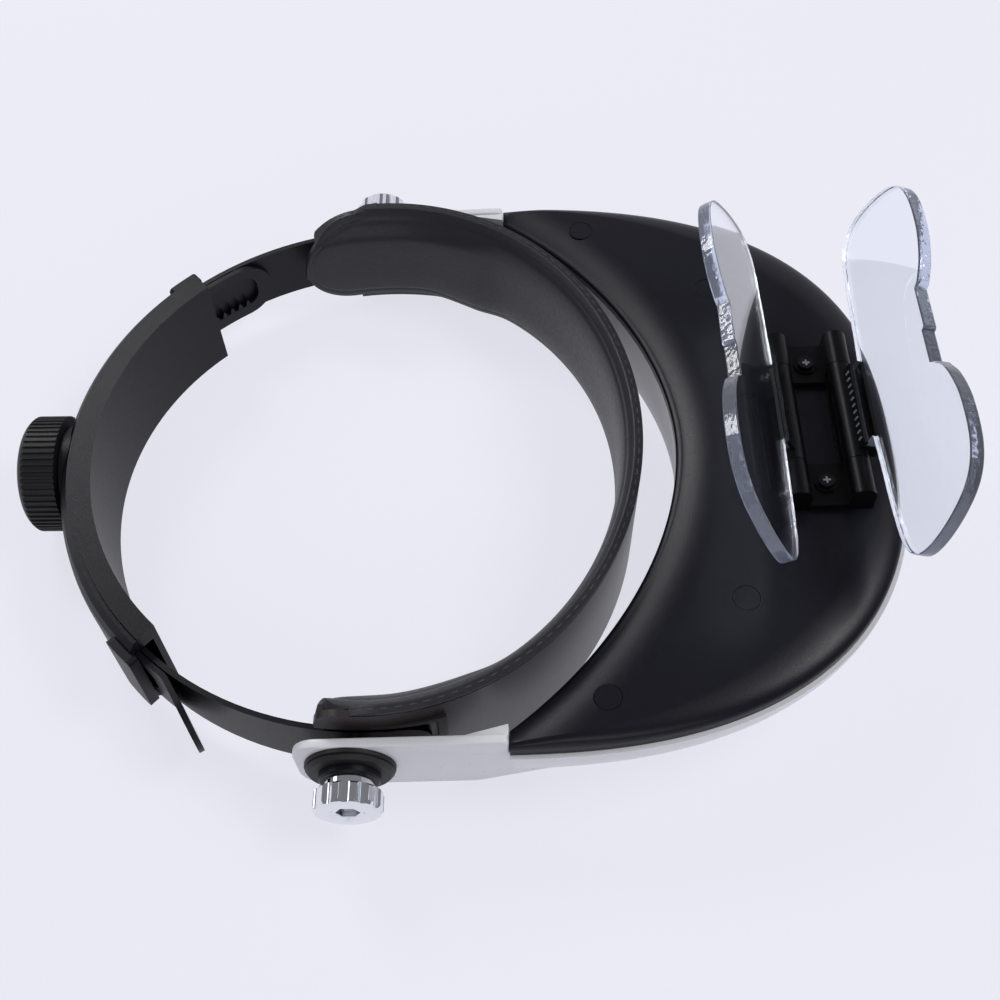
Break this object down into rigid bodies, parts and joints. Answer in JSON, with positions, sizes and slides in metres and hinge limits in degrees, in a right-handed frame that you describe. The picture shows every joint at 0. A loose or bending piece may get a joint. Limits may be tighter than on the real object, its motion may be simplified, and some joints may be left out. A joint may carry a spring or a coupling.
{
  "type": "head visor magnifier",
  "caption": "Head-worn magnifier: padded forehead band with ratchet rear adjuster, tilting visor, and folding clear lens plates on a hinge bracket.",
  "frame": {"origin": "centre of the object's box, on the plane it rests on", "axes": "+X to the front of the visor, +Y across the head, +Z out of the visor's underside: the object is stored lying upside down, as it was pictured"},
  "size_m": [0.267, 0.2242, 0.0913],
  "materials": {
    "band_plastic": "satin grey-brown moulded plastic",
    "pad_leatherette": "soft black leatherette with fine grain",
    "strap_plastic": "semi-matt black polypropylene",
    "housing_plastic": "fine spark-eroded black plastic",
    "knob_plastic": "matt black plastic",
    "steel": "machined",
    "black_rubber": "matt",
    "chrome": "polished",
    "white_shell": "smooth semi-gloss white",
    "black_shell": "fine-grained black",
    "bracket_plastic": "matt black",
    "black_screw": "black oxide",
    "acrylic": "clear polished acrylic"
  },
  "bodies": {
    "headband": {"front_band": "band_plastic", "forehead_pad": "pad_leatherette", "pivot_bolts": "steel", "pivot_spacers": "strap_plastic", "pivot_washers": "black_rubber", "pivot_collars": "strap_plastic"},
    "visor": {"visor_top_cover": "white_shell", "visor_under_cover": "black_shell", "screw_plugs": "black_shell", "cover_screws": "steel", "hinge_bracket": "bracket_plastic", "bracket_screws": "black_screw", "inner_hinge_pin": "steel", "outer_hinge_pin": "steel"},
    "inner_lens": {"inner_lens_carrier": "bracket_plastic", "inner_lens_plate": "acrylic"},
    "outer_lens": {"outer_lens_carrier": "bracket_plastic", "outer_lens_plate": "acrylic"},
    "left_nut": {"left_thumb_nut": "chrome"},
    "right_nut": {"right_thumb_nut": "chrome"},
    "rear": {"rear_housing": "housing_plastic", "rear_cover": "housing_plastic"},
    "knob": {"ratchet_knob": "knob_plastic", "pinion": "strap_plastic", "knob_screw": "steel"},
    "left_size_strap": {"left_strap": "strap_plastic"},
    "right_size_strap": {"right_strap": "strap_plastic"}
  },
  "joints": [
    {"name": "visor_tilt", "type": "hinge", "parent": "headband", "child": "visor", "pos_m": [-0.02807, 0, 0.0207], "axis": [0, 1, 0], "range_deg": [-20, 60]},
    {"name": "outer_lens_fold", "type": "hinge", "parent": "visor", "child": "outer_lens", "pos_m": [0.11599, 0, 0.0444], "axis": [0, 1, 0], "range_deg": [-22, 56]},
    {"name": "inner_lens_fold", "type": "hinge", "parent": "visor", "child": "inner_lens", "pos_m": [0.09801, 0, 0.04368], "axis": [0, 1, 0], "range_deg": [-54, 28]},
    {"name": "left_nut_turn", "type": "hinge", "parent": "headband", "child": "left_nut", "pos_m": [-0.02807, 0.1077, 0.0207], "axis": [0, 1, 0], "range_deg": [-180, 180]},
    {"name": "right_nut_turn", "type": "hinge", "parent": "headband", "child": "right_nut", "pos_m": [-0.02807, -0.1077, 0.0207], "axis": [0, 1, 0], "range_deg": [-180, 180]},
    {"name": "size_slide", "type": "slide", "parent": "headband", "child": "rear", "axis": [1, 0, 0], "range_m": [-0.006, 0.001]},
    {"name": "knob_turn", "type": "hinge", "parent": "rear", "child": "knob", "pos_m": [-0.12387, 0, 0.0184], "axis": [1, 0, 0], "range_deg": [-70, 13]},
    {"name": "left_strap_swing", "type": "hinge", "parent": "headband", "child": "left_size_strap", "pos_m": [-0.02807, 0.09351, 0.0184], "axis": [0, 0, 1], "range_deg": [-4, 1]},
    {"name": "right_strap_swing", "type": "hinge", "parent": "headband", "child": "right_size_strap", "pos_m": [-0.02807, -0.0915, 0.0184], "axis": [0, 0, 1], "range_deg": [-1, 4]}
  ],
  "couplings": [
    {"joint": "knob_turn", "follows": "size_slide", "rad_per_m": 200.2},
    {"joint": "left_strap_swing", "follows": "size_slide", "rad_per_m": 10.694},
    {"joint": "right_strap_swing", "follows": "size_slide", "rad_per_m": -10.928}
  ]
}
